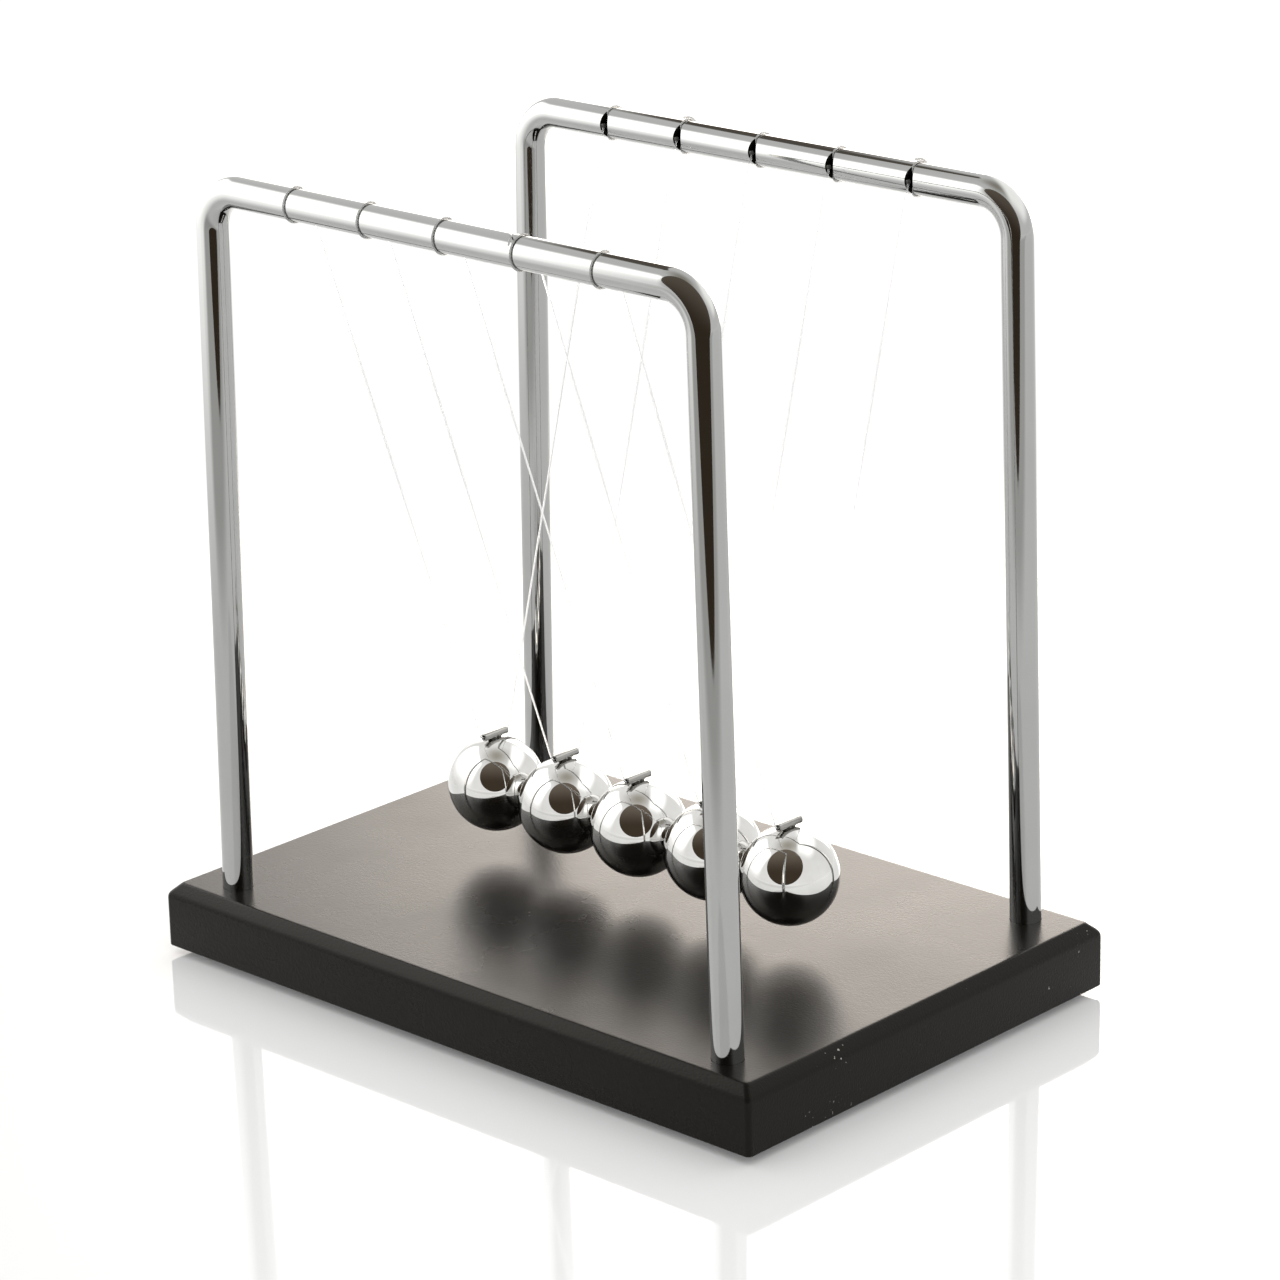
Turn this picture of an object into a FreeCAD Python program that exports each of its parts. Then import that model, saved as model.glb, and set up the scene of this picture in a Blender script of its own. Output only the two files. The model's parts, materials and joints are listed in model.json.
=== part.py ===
import FreeCAD, Part
import math
import os

import Sketcher

# Desk cradle: five steel balls, each hung as a V of nylon line between two bent chrome tubes
# that stand in a black board. X runs along the row of balls, Y from the front tube to the rear
# tube, Z up. The origin is the centre of the footprint, at the underside of the feet.
# All sizes are millimetres and degrees.

DIMENSIONS = {
    # board
    "board_length": 176.0,
    "board_width": 117.0,
    "board_thick": 15.0,
    "board_chamfer": 2.5,
    "board_corner": 1.2,
    # feet
    "foot_radius": 7.0,
    "foot_thick": 2.0,
    "foot_round": 0.6,
    "foot_inset_x": 30.0,
    "foot_inset_y": 13.0,
    # bent tubes
    "tube_radius": 3.5,
    "tube_wall": 0.8,
    "bend_radius": 9.0,
    "rail_height": 161.6,
    "leg_spread_x": 74.0,
    "leg_spread_y": 48.9,
    "leg_lean": 1.15,
    "socket_depth": 10.0,
    "socket_gap": 0.05,
    # fixings inside the legs
    "plug_length": 13.0,
    "plug_gap": 0.02,
    "thread_radius": 1.5,
    "thread_depth": 11.0,
    "screw_length": 13.0,
    "screw_head_radius": 2.8,
    "screw_head_thick": 1.7,
    "screw_sink": 0.3,
    "screw_gap": 0.1,
    "thread_gap": 0.02,
    "screw_slot_wide": 0.8,
    "screw_slot_deep": 0.7,
    # string stations along the rails
    "ball_pitch": 22.15,
    "notch_depth": 2.2,
    "notch_half_wide": 1.15,
    "loop_gap": 0.02,
    "loop_top_gap": 62.0,
    "loop_under_gap": 62.0,
    "knot_radius": 0.5,
    "knot_length": 1.0,
    # pendulums
    "ball_radius": 11.0,
    "ball_lift": 16.3,
    "row_offset": 4.6,
    "clip_lift": 11.9,
    "clip_radius": 0.85,
    "clip_bore": 0.48,
    "clip_length": 7.2,
    "stem_radius": 0.6,
    "stem_depth": 2.4,
    "line_radius": 0.21,
    "line_bend": 1.0,
    "line_end_gap": 0.12,
    # how far a cutter runs past the surface it opens
    "overrun": 1.0,
}
STATIONS = 5
SIDES = {"front": -1, "rear": 1}
ENDS = {"left": -1, "right": 1}
TOUCHING = 0.01

document = FreeCAD.newDocument("newtons_cradle")
sheet = document.addObject("Spreadsheet::Sheet", "Dims")
for row, (alias, value) in enumerate(DIMENSIONS.items(), start=1):
    sheet.set(f"A{row}", alias)
    sheet.set(f"B{row}", str(value))
    sheet.setAlias(f"B{row}", alias)
document.recompute()


def size(alias):
    return float(sheet.get(alias))


def bind(obj, **formulas):
    """Bind properties of obj to formulas over the sheet; bare sheet names are in Dims."""
    for name, formula in formulas.items():
        obj.setExpression(name.replace("__", "."), formula)


def place(obj, x="0", y="0", z="0", axis=None, angle=None):
    """Bind an object's position, and its turn about one axis, to formulas."""
    if axis is not None:
        obj.Placement = FreeCAD.Placement(FreeCAD.Vector(), FreeCAD.Rotation(axis, 1))
        obj.setExpression("Placement.Rotation.Angle", angle)
    for name, formula in (("x", x), ("y", y), ("z", z)):
        obj.setExpression(f"Placement.Base.{name}", f"({formula}) * 1 mm")


X_AXIS = FreeCAD.Vector(1, 0, 0)
Y_AXIS = FreeCAD.Vector(0, 1, 0)
Z_AXIS = FreeCAD.Vector(0, 0, 1)

BOARD_TOP = "(Dims.foot_thick + Dims.board_thick)"
RAIL_Z = f"({BOARD_TOP} + Dims.rail_height)"
CLIP_Z = f"({BOARD_TOP} + Dims.ball_lift + Dims.clip_lift)"
PIVOT_Y = "(Dims.leg_spread_y - Dims.tube_radius)"


def station_x(number):
    """Formula for the X of a station; number 1 is at the left end of the row."""
    return f"({number - (STATIONS + 1) // 2} * Dims.ball_pitch)"


# ---- sketch and body helpers -------------------------------------------------

def make_body(name):
    body = document.addObject("PartDesign::Body", name)
    body.Label = name
    return body


def origin_feature(body, role):
    return next(item for item in body.Origin.OriginFeatures if item.Role == role)


def make_sketch(body, name, plane):
    sketch = body.newObject("Sketcher::SketchObject", name)
    sketch.AttachmentSupport = [(origin_feature(body, plane), "")]
    sketch.MapMode = "FlatFace"
    return sketch


def constrain(sketch, formula, kind, *where):
    """Add a sized constraint and bind it to a formula."""
    index = sketch.addConstraint(Sketcher.Constraint(kind, *where))
    sketch.setExpression(f"Constraints[{index}]", formula)
    return index


def polygon(sketch, points):
    """Closed outline of straight lines through rough points, to be sized by constraints."""
    corners = [FreeCAD.Vector(x, y, 0) for x, y in points]
    count = len(corners)
    for index, corner in enumerate(corners):
        sketch.addGeometry(Part.LineSegment(corner, corners[(index + 1) % count]), False)
    for index in range(count):
        following = (index + 1) % count
        sketch.addConstraint(Sketcher.Constraint("Coincident", index, 2, following, 1))


def pin_corner(sketch, line, x_formula, y_formula):
    """Fix the start point of a line at a signed position from the sketch origin."""
    constrain(sketch, f"({x_formula}) * 1 mm", "DistanceX", -1, 1, line, 1, 1.0)
    constrain(sketch, f"({y_formula}) * 1 mm", "DistanceY", -1, 1, line, 1, 1.0)


def revolve_outline(body, corners):
    """Turn an outline in the XZ plane, given as (radius, height) formulas, about Z."""
    sketch = make_sketch(body, body.Name + "_outline", "XZ_Plane")
    rough = [(evaluate(radius), evaluate(height)) for radius, height in corners]
    polygon(sketch, rough)
    for index, (radius, height) in enumerate(corners):
        if evaluate(radius) == 0:
            sketch.addConstraint(Sketcher.Constraint("PointOnObject", index, 1, -2))
            constrain(sketch, f"({height}) * 1 mm", "DistanceY", -1, 1, index, 1, 1.0)
        else:
            pin_corner(sketch, index, radius, height)
    turned = body.newObject("PartDesign::Revolution", body.Name + "_turned")
    turned.Profile = sketch
    turned.ReferenceAxis = (sketch, ["V_Axis"])
    turned.Angle = 360
    return turned


def evaluate(formula):
    """Value of a formula over the sheet, for a sketch's rough starting shape."""
    return float(sheet.evalExpression(formula))


# ---- board and feet ----------------------------------------------------------

def leg_point(side, end, along):
    """Formulas for a point on a leg's axis; along is measured up from the board's top."""
    x = f"{end} * (Dims.leg_spread_x - ({along}) * sin(Dims.leg_lean))"
    y = f"{side} * Dims.leg_spread_y"
    z = f"{BOARD_TOP} + ({along}) * cos(Dims.leg_lean)"
    return {"x": x, "y": y, "z": z, "axis": Y_AXIS, "angle": f"{-end} * Dims.leg_lean"}


def leg_hole(side_name, end_name):
    """Socket, screw hole and countersink of one leg, as the solid that cuts them."""
    body = make_body(f"leg_hole_{side_name}_{end_name}")
    socket = "Dims.tube_radius + Dims.socket_gap"
    passage = "Dims.thread_radius + Dims.screw_gap"
    slope = "(Dims.screw_head_radius - Dims.thread_radius) / Dims.screw_head_thick"
    seat = "-Dims.board_thick + Dims.screw_sink"
    mouth = f"Dims.screw_head_radius + Dims.screw_gap + ({slope}) * (Dims.screw_sink + Dims.overrun)"
    revolve_outline(body, [
        ("0", "-Dims.board_thick - Dims.overrun"),
        (mouth, "-Dims.board_thick - Dims.overrun"),
        (passage, f"{seat} + Dims.screw_head_thick"),
        (passage, "-Dims.socket_depth"),
        (socket, "-Dims.socket_depth"),
        (socket, "Dims.overrun"),
        ("0", "Dims.overrun"),
    ])
    place(body, **leg_point(SIDES[side_name], ENDS[end_name], "0"))
    return body


def make_board():
    blank = make_body("board_blank")
    sketch = make_sketch(blank, "board_outline", "XY_Plane")
    half_x = size("board_length") / 2
    half_y = size("board_width") / 2
    polygon(sketch, [(-half_x, -half_y), (half_x, -half_y), (half_x, half_y), (-half_x, half_y)])
    signs = [(-1, -1), (1, -1), (1, 1), (-1, 1)]
    for line, (sign_x, sign_y) in enumerate(signs):
        pin_corner(sketch, line, f"{sign_x} * Dims.board_length / 2",
                   f"{sign_y} * Dims.board_width / 2")
    pad = blank.newObject("PartDesign::Pad", "board_pad")
    pad.Profile = sketch
    bind(pad, Length="Dims.board_thick * 1 mm")
    document.recompute()
    top = edges_where(pad, lambda low, high: low.z > size("board_thick") - TOUCHING)
    bevel = blank.newObject("PartDesign::Chamfer", "board_bevel")
    bevel.Base = (pad, top)
    bind(bevel, Size="Dims.board_chamfer * 1 mm")
    document.recompute()
    upright = edges_where(bevel, lambda low, high: high.z - low.z > size("board_chamfer"))
    corners = blank.newObject("PartDesign::Fillet", "board_corners")
    corners.Base = (bevel, upright)
    bind(corners, Radius="Dims.board_corner * 1 mm")
    place(blank, z="Dims.foot_thick")
    board = blank
    for side_name in SIDES:
        for end_name in ENDS:
            drilled = document.addObject("Part::Cut", f"drilled_{side_name}_{end_name}")
            drilled.Base = board
            drilled.Tool = leg_hole(side_name, end_name)
            board = drilled
    board.Label = "base_board"
    return board


def edges_where(feature, test):
    """Names of the feature's edges whose box passes a test on its low and high corners."""
    names = []
    for index, edge in enumerate(feature.Shape.Edges, start=1):
        box = edge.BoundBox
        low = FreeCAD.Vector(box.XMin, box.YMin, box.ZMin)
        high = FreeCAD.Vector(box.XMax, box.YMax, box.ZMax)
        if test(low, high):
            names.append(f"Edge{index}")
    return names


def make_foot(side_name, end_name):
    """Soft round pad with a rounded lower rim."""
    body = make_body(f"foot_{side_name}_{end_name}")
    sketch = make_sketch(body, body.Name + "_disc", "XY_Plane")
    sketch.addGeometry(Part.Circle(FreeCAD.Vector(), Z_AXIS, size("foot_radius")), False)
    sketch.addConstraint(Sketcher.Constraint("Coincident", 0, 3, -1, 1))
    constrain(sketch, "Dims.foot_radius * 1 mm", "Radius", 0, size("foot_radius"))
    pad = body.newObject("PartDesign::Pad", body.Name + "_pad")
    pad.Profile = sketch
    bind(pad, Length="Dims.foot_thick * 1 mm")
    document.recompute()
    rim = body.newObject("PartDesign::Fillet", body.Name + "_rim")
    rim.Base = (pad, edges_where(pad, lambda low, high: high.z < TOUCHING))
    bind(rim, Radius="Dims.foot_round * 1 mm")
    place(body, x=f"{ENDS[end_name]} * (Dims.board_length / 2 - Dims.foot_inset_x)",
          y=f"{SIDES[side_name]} * (Dims.board_width / 2 - Dims.foot_inset_y)")
    return body


# ---- bent tubes --------------------------------------------------------------

def half_tube_path(body):
    """Centre-line from the middle of the rail, round the bend and down one leg."""
    path = make_sketch(body, body.Name + "_path", "XZ_Plane")
    lean = math.radians(size("leg_lean"))
    height = size("rail_height")
    bend = size("bend_radius")
    corner_x = size("leg_spread_x") - height * math.tan(lean)
    reach = bend * math.tan((math.pi / 2 - lean) / 2)
    straight_end = FreeCAD.Vector(corner_x - reach, height, 0)
    leg_start = FreeCAD.Vector(corner_x + reach * math.sin(lean), height - reach * math.cos(lean), 0)
    foot_x = size("leg_spread_x") + size("socket_depth") * math.sin(lean)
    leg_end = FreeCAD.Vector(foot_x, -size("socket_depth") * math.cos(lean), 0)
    centre = FreeCAD.Vector(corner_x - reach, height - bend, 0)
    circle = Part.Circle(centre, Z_AXIS, bend)
    path.addGeometry(Part.LineSegment(FreeCAD.Vector(0, height, 0), straight_end), False)
    path.addGeometry(Part.ArcOfCircle(circle, lean, math.pi / 2), False)
    path.addGeometry(Part.LineSegment(leg_start, leg_end), False)
    path.addConstraint(Sketcher.Constraint("PointOnObject", 0, 1, -2))
    path.addConstraint(Sketcher.Constraint("Horizontal", 0))
    path.addConstraint(Sketcher.Constraint("Tangent", 0, 2, 1, 2))
    path.addConstraint(Sketcher.Constraint("Tangent", 1, 1, 2, 1))
    constrain(path, "Dims.rail_height * 1 mm", "DistanceY", -1, 1, 0, 1, height)
    constrain(path, "Dims.bend_radius * 1 mm", "Radius", 1, bend)
    foot = "Dims.leg_spread_x + Dims.socket_depth * sin(Dims.leg_lean)"
    constrain(path, f"({foot}) * 1 mm", "DistanceX", -1, 1, 2, 2, foot_x)
    constrain(path, "-Dims.socket_depth * cos(Dims.leg_lean) * 1 mm",
              "DistanceY", -1, 1, 2, 2, leg_end.y)
    return path


def make_frame(side_name):
    """One bent tube, with the string notches in the side that faces the balls."""
    body = make_body(f"{side_name}_frame")
    path = half_tube_path(body)
    ring = make_sketch(body, body.Name + "_ring", "YZ_Plane")
    for index, inset in enumerate(("0", "Dims.tube_wall")):
        radius = size("tube_radius") - evaluate(inset)
        centre = FreeCAD.Vector(0, size("rail_height"), 0)
        ring.addGeometry(Part.Circle(centre, Z_AXIS, radius), False)
        constrain(ring, f"(Dims.tube_radius - {inset}) * 1 mm", "Radius", index, radius)
        ring.addConstraint(Sketcher.Constraint("PointOnObject", index, 3, -2))
        constrain(ring, "Dims.rail_height * 1 mm", "DistanceY", -1, 1, index, 3, centre.y)
    pipe = body.newObject("PartDesign::AdditivePipe", body.Name + "_half")
    pipe.Profile = ring
    pipe.Spine = path
    document.recompute()
    mirror = body.newObject("PartDesign::Mirrored", body.Name + "_whole")
    mirror.Originals = [pipe]
    mirror.MirrorPlane = (origin_feature(body, "YZ_Plane"), [""])
    body.Tip = mirror
    document.recompute()
    before = body.Shape.Volume

    notch = make_sketch(body, body.Name + "_notch", "XY_Plane")
    bind(notch, AttachmentOffset__Base__z="Dims.rail_height * 1 mm")
    first = station_x(1)
    rim = "(Dims.tube_radius + Dims.overrun)"
    apex = "(Dims.tube_radius - Dims.notch_depth)"
    half = f"(Dims.notch_half_wide * ({rim} - {apex}) / Dims.notch_depth)"
    corners = [(first, apex), (f"{first} + {half}", rim), (f"{first} - {half}", rim)]
    polygon(notch, [(evaluate(x), evaluate(y)) for x, y in corners])
    for line, (x, y) in enumerate(corners):
        pin_corner(notch, line, x, y)
    cut = body.newObject("PartDesign::Pocket", body.Name + "_notch_cut")
    cut.Profile = notch
    cut.Midplane = True
    bind(cut, Length="4 * Dims.tube_radius * 1 mm")
    document.recompute()
    row = body.newObject("PartDesign::LinearPattern", body.Name + "_notches")
    row.Originals = [cut]
    row.Direction = (origin_feature(body, "X_Axis"), [""])
    row.Occurrences = STATIONS
    bind(row, Length=f"{STATIONS - 1} * Dims.ball_pitch * 1 mm")
    body.Tip = row
    document.recompute()
    if body.Shape.Volume >= before:
        raise RuntimeError(f"the notches of {body.Label} cut nothing")
    turn = "0" if side_name == "front" else "180"
    place(body, y=f"{SIDES[side_name]} * Dims.leg_spread_y", z=BOARD_TOP, axis=Z_AXIS, angle=turn)
    return body


def make_plug(side_name, end_name):
    """Tapped slug pressed into the foot of a leg, for the screw from below."""
    body = make_body(f"leg_plug_{side_name}_{end_name}")
    outer = "Dims.tube_radius - Dims.tube_wall - Dims.plug_gap"
    revolve_outline(body, [
        ("Dims.thread_radius", "0"),
        (outer, "0"),
        (outer, "Dims.plug_length"),
        ("0", "Dims.plug_length"),
        ("0", "Dims.thread_depth"),
        ("Dims.thread_radius", "Dims.thread_depth"),
    ])
    place(body, **leg_point(SIDES[side_name], ENDS[end_name], "-Dims.socket_depth"))
    return body


def make_screw(side_name, end_name):
    """Countersunk screw, driven up through the board into a leg plug."""
    body = make_body(f"leg_screw_{side_name}_{end_name}")
    shank = "Dims.thread_radius - Dims.thread_gap"
    revolve_outline(body, [
        ("0", "0"),
        ("Dims.screw_head_radius", "0"),
        (shank, "Dims.screw_head_thick"),
        (shank, "Dims.screw_length"),
        ("0", "Dims.screw_length"),
    ])
    slot = make_sketch(body, body.Name + "_slot", "XY_Plane")
    radius = size("screw_head_radius")
    half = size("screw_slot_wide") / 2
    polygon(slot, [(-radius, -half), (radius, -half), (radius, half), (-radius, half)])
    for line, (sign_x, sign_y) in enumerate([(-1, -1), (1, -1), (1, 1), (-1, 1)]):
        pin_corner(slot, line, f"{sign_x} * (Dims.screw_head_radius + Dims.overrun)",
                   f"{sign_y} * Dims.screw_slot_wide / 2")
    document.recompute()
    before = body.Shape.Volume
    cut = body.newObject("PartDesign::Pocket", body.Name + "_slot_cut")
    cut.Profile = slot
    cut.Reversed = True
    bind(cut, Length="Dims.screw_slot_deep * 1 mm")
    document.recompute()
    if body.Shape.Volume >= before:
        raise RuntimeError(f"the slot of {body.Label} cut nothing")
    place(body, **leg_point(SIDES[side_name], ENDS[end_name],
                            "-Dims.board_thick + Dims.screw_sink"))
    return body


# ---- strings at the rails ----------------------------------------------------

def make_loop(side_name, number):
    """Turn of line round the rail, open where its knot sits in the notch."""
    loop = document.addObject("Part::Torus", f"rail_loop_{side_name}_{number}")
    loop.Label = loop.Name
    bind(loop, Radius1="(Dims.tube_radius + Dims.line_radius + Dims.loop_gap) * 1 mm",
         Radius2="Dims.line_radius * 1 mm",
         Angle3="360 - Dims.loop_top_gap - Dims.loop_under_gap")
    # the torus starts on its own +X and turns about its own Z; both are laid over to the rail
    inward = -SIDES[side_name]
    start = math.radians(size("loop_top_gap"))
    toward = FreeCAD.Vector(0, inward * math.cos(start), math.sin(start))
    sweep = FreeCAD.Vector(0, -inward * math.sin(start), math.cos(start))
    turn = FreeCAD.Rotation(toward, sweep, toward.cross(sweep), "XYZ")
    loop.Placement = FreeCAD.Placement(FreeCAD.Vector(), turn)
    place(loop, x=station_x(number), y=f"{SIDES[side_name]} * Dims.leg_spread_y", z=RAIL_Z)
    return loop


def make_knot(side_name, number):
    """Barrel knot that the pendulum turns about, lying along its swing axis."""
    knot = document.addObject("Part::Cylinder", f"knot_{side_name}_{number}")
    knot.Label = knot.Name
    bind(knot, Radius="Dims.knot_radius * 1 mm", Height="Dims.knot_length * 1 mm")
    place(knot, x=station_x(number), y=f"{SIDES[side_name]} * {PIVOT_Y} + Dims.knot_length / 2",
          z=RAIL_Z, axis=X_AXIS, angle="90")
    return knot


# ---- pendulums ---------------------------------------------------------------

def make_ball(number):
    """Solid ball with a small blind hole on top for the clip's stem."""
    globe = document.addObject("Part::Sphere", f"globe_{number}")
    bind(globe, Radius="Dims.ball_radius * 1 mm")
    hole = document.addObject("Part::Cylinder", f"stem_hole_{number}")
    bind(hole, Radius="Dims.stem_radius * 1 mm", Height="(Dims.stem_depth + Dims.overrun) * 1 mm")
    ball_z = f"{BOARD_TOP} + Dims.ball_lift"
    place(globe, x=station_x(number), y="Dims.row_offset", z=ball_z)
    place(hole, x=station_x(number), y="Dims.row_offset",
          z=f"{ball_z} + Dims.ball_radius - Dims.stem_depth")
    ball = document.addObject("Part::Cut", f"ball_{number}")
    ball.Base = globe
    ball.Tool = hole
    return ball


def along_y(name, number, radius, length):
    """Round bar through a clip, lying along Y and centred on the row."""
    bar = document.addObject("Part::Cylinder", name)
    bind(bar, Radius=f"{radius} * 1 mm", Height=f"({length}) * 1 mm")
    place(bar, x=station_x(number), y=f"Dims.row_offset + ({length}) / 2", z=CLIP_Z,
          axis=X_AXIS, angle="90")
    return bar


def make_clip(number):
    """Short tube that the line runs through, on a stem set into the ball."""
    barrel = along_y(f"barrel_{number}", number, "Dims.clip_radius", "Dims.clip_length")
    stem = document.addObject("Part::Cylinder", f"stem_{number}")
    rise = "Dims.clip_lift - Dims.ball_radius + Dims.stem_depth"
    bind(stem, Radius="Dims.stem_radius * 1 mm", Height=f"({rise}) * 1 mm")
    place(stem, x=station_x(number), y="Dims.row_offset", z=f"{CLIP_Z} - ({rise})")
    solid = document.addObject("Part::Fuse", f"clip_solid_{number}")
    solid.Base = barrel
    solid.Tool = stem
    bore = along_y(f"clip_bore_{number}", number, "Dims.clip_bore", "Dims.clip_length + 2 * Dims.overrun")
    clip = document.addObject("Part::Cut", f"clip_{number}")
    clip.Base = solid
    clip.Tool = bore
    return clip


def make_line(number):
    """V of line: from the front knot down through the clip and up to the rear knot."""
    body = make_body(f"line_{number}")
    section = make_sketch(body, body.Name + "_section", "XZ_Plane")
    section.addGeometry(Part.Circle(FreeCAD.Vector(), Z_AXIS, size("line_radius")), False)
    section.addConstraint(Sketcher.Constraint("Coincident", 0, 3, -1, 1))
    constrain(section, "Dims.line_radius * 1 mm", "Radius", 0, size("line_radius"))
    for side_name in SIDES:
        path = half_line_path(body, side_name)
        pipe = body.newObject("PartDesign::AdditivePipe", f"{body.Name}_{side_name}")
        pipe.Profile = section
        pipe.Spine = path
        document.recompute()
    place(body, x=station_x(number), y="Dims.row_offset", z=CLIP_Z)
    return body


def half_line_path(body, side_name):
    """Centre-line from the middle of the clip, out of its mouth and up to one knot."""
    side = SIDES[side_name]
    path = make_sketch(body, f"{body.Name}_{side_name}_path", "YZ_Plane")
    mouth = side * size("clip_length") / 2
    bend = size("line_bend")
    pivot_y = f"({side} * {PIVOT_Y} - Dims.row_offset)"
    pivot_z = "(Dims.rail_height - Dims.ball_lift - Dims.clip_lift)"
    pivot = FreeCAD.Vector(evaluate(pivot_y), evaluate(pivot_z), 0)
    slope = math.atan2(pivot.y - bend, abs(pivot.x - mouth))
    centre = FreeCAD.Vector(mouth, bend, 0)
    arc_out = FreeCAD.Vector(mouth + side * bend * math.sin(slope), bend - bend * math.cos(slope), 0)
    circle = Part.Circle(centre, Z_AXIS, bend)
    if side > 0:
        arc = Part.ArcOfCircle(circle, -math.pi / 2, slope - math.pi / 2)
        arc_in, arc_far = 1, 2
    else:
        arc = Part.ArcOfCircle(circle, -math.pi / 2 - slope, -math.pi / 2)
        arc_in, arc_far = 2, 1
    ending = pivot + (arc_out - pivot).normalize() * (size("knot_radius") + size("line_end_gap"))
    path.addGeometry(Part.LineSegment(FreeCAD.Vector(), FreeCAD.Vector(mouth, 0, 0)), False)
    path.addGeometry(arc, False)
    path.addGeometry(Part.LineSegment(arc_out, ending), False)
    path.addGeometry(Part.LineSegment(ending, pivot), True)
    path.addConstraint(Sketcher.Constraint("Coincident", 0, 1, -1, 1))
    path.addConstraint(Sketcher.Constraint("Horizontal", 0))
    path.addConstraint(Sketcher.Constraint("Tangent", 0, 2, 1, arc_in))
    path.addConstraint(Sketcher.Constraint("Tangent", 1, arc_far, 2, 1))
    path.addConstraint(Sketcher.Constraint("Tangent", 2, 2, 3, 1))
    constrain(path, f"{side} * Dims.clip_length / 2 * 1 mm", "DistanceX", 0, 1, 0, 2, mouth)
    constrain(path, "Dims.line_bend * 1 mm", "Radius", 1, bend)
    constrain(path, "(Dims.knot_radius + Dims.line_end_gap) * 1 mm",
              "Distance", 3, 1, 3, 2, size("knot_radius") + size("line_end_gap"))
    constrain(path, f"{pivot_y} * 1 mm", "DistanceX", -1, 1, 3, 2, pivot.x)
    constrain(path, f"{pivot_z} * 1 mm", "DistanceY", -1, 1, 3, 2, pivot.y)
    return path


# ---- build, check and write --------------------------------------------------

nodes = [make_board()]
for side in SIDES:
    nodes.append(make_frame(side))
for side in SIDES:
    for end in ENDS:
        nodes.append(make_foot(side, end))
        nodes.append(make_plug(side, end))
        nodes.append(make_screw(side, end))
for station in range(1, STATIONS + 1):
    nodes.append(make_ball(station))
    nodes.append(make_clip(station))
    nodes.append(make_line(station))
    for side in SIDES:
        nodes.append(make_knot(side, station))
        nodes.append(make_loop(side, station))
document.recompute()

for item in document.Objects:
    if "Invalid" in item.State or "Error" in item.State:
        raise RuntimeError(f"{item.Name} failed: {item.State}")
for node in nodes:
    if node.Shape.isNull() or not node.Shape.isValid():
        raise RuntimeError(f"{node.Label} has no valid shape")
    if len(node.Shape.Solids) != 1:
        raise RuntimeError(f"{node.Label} has {len(node.Shape.Solids)} solids")

os.makedirs("parts", exist_ok=True)
for node in nodes:
    node.Shape.exportStep(os.path.join("parts", f"{node.Label}.step"))
print(f"{len(nodes)} nodes written")
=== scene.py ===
"""Looks of a five-ball desk cradle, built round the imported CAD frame. Metres, Z up."""
import json
import math

import bmesh
import bpy
from mathutils import Matrix, Vector


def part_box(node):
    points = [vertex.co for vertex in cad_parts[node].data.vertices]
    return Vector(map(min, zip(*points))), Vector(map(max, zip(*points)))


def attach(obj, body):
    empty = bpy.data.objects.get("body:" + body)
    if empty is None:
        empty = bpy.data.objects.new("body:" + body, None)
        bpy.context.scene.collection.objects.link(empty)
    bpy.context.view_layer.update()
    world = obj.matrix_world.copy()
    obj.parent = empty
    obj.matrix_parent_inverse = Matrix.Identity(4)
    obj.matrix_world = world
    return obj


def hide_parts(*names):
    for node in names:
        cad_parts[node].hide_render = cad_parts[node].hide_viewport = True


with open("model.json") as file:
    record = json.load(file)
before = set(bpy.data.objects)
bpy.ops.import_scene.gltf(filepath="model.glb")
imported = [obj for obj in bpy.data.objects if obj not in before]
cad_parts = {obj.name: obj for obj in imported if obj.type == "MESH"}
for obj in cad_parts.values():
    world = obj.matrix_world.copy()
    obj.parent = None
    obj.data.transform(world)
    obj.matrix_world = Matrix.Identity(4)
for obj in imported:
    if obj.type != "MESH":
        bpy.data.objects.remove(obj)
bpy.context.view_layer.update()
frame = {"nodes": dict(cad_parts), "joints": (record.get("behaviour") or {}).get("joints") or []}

MM = 0.001
SIDES = {"front": -1, "rear": 1}
ENDS = {"left": -1, "right": 1}

# ---- sizes read from the frame -----------------------------------------------
board_low, board_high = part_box("base_board")
rail_low, rail_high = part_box("front_frame")
ball_low, ball_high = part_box("ball_3")
clip_low, clip_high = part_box("clip_3")
line_low, line_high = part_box("line_3")

TUBE_RADIUS = (rail_high.y - rail_low.y) / 2
RAIL_Y = -(rail_high.y + rail_low.y) / 2
RAIL_Z = rail_high.z - TUBE_RADIUS
BALL_RADIUS = (ball_high.z - ball_low.z) / 2
BALL_Z = (ball_high.z + ball_low.z) / 2
ROW_Y = (clip_high.y + clip_low.y) / 2
CLIP_RADIUS = (clip_high.x - clip_low.x) / 2
CLIP_HALF = (clip_high.y - clip_low.y) / 2
CLIP_Z = clip_high.z - CLIP_RADIUS
LINE_RADIUS = (line_high.x - line_low.x) / 2
STATION_X = [joint["pos_m"][0] for joint in frame["joints"]]
PIVOT_Y = RAIL_Y - TUBE_RADIUS

# ---- sizes of details --------------------------------------------------------
TUBE_WALL = 0.8 * MM
BEND_RADIUS = 9 * MM
LEAN = math.radians(1.15)
SOCKET_DEPTH = 10 * MM
SOCKET_RADIUS = TUBE_RADIUS + 0.05 * MM
NOTCH_DEPTH = 2.2 * MM
NOTCH_SLOPE = 1.15 / 2.2
BOARD_BEVEL = 2.5 * MM
BOARD_CORNER = 1.2 * MM
EDGE_ROUND = 0.4 * MM
BEVEL_ROUND = 0.9 * MM
SCREW_HOLE = 1.6 * MM
SCREW_HEAD = 3.1 * MM
SCREW_HEAD_DEEP = 2.0 * MM
CLIP_BORE = 0.48 * MM
STEM_RADIUS = 0.6 * MM
STEM_DEPTH = 2.4 * MM
WELD_LONG = 2.1 * MM
WELD_RADIUS = 1.0 * MM
WELD_LIFT = 0.1 * MM
CLIP_LIP = 0.09 * MM
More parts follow.
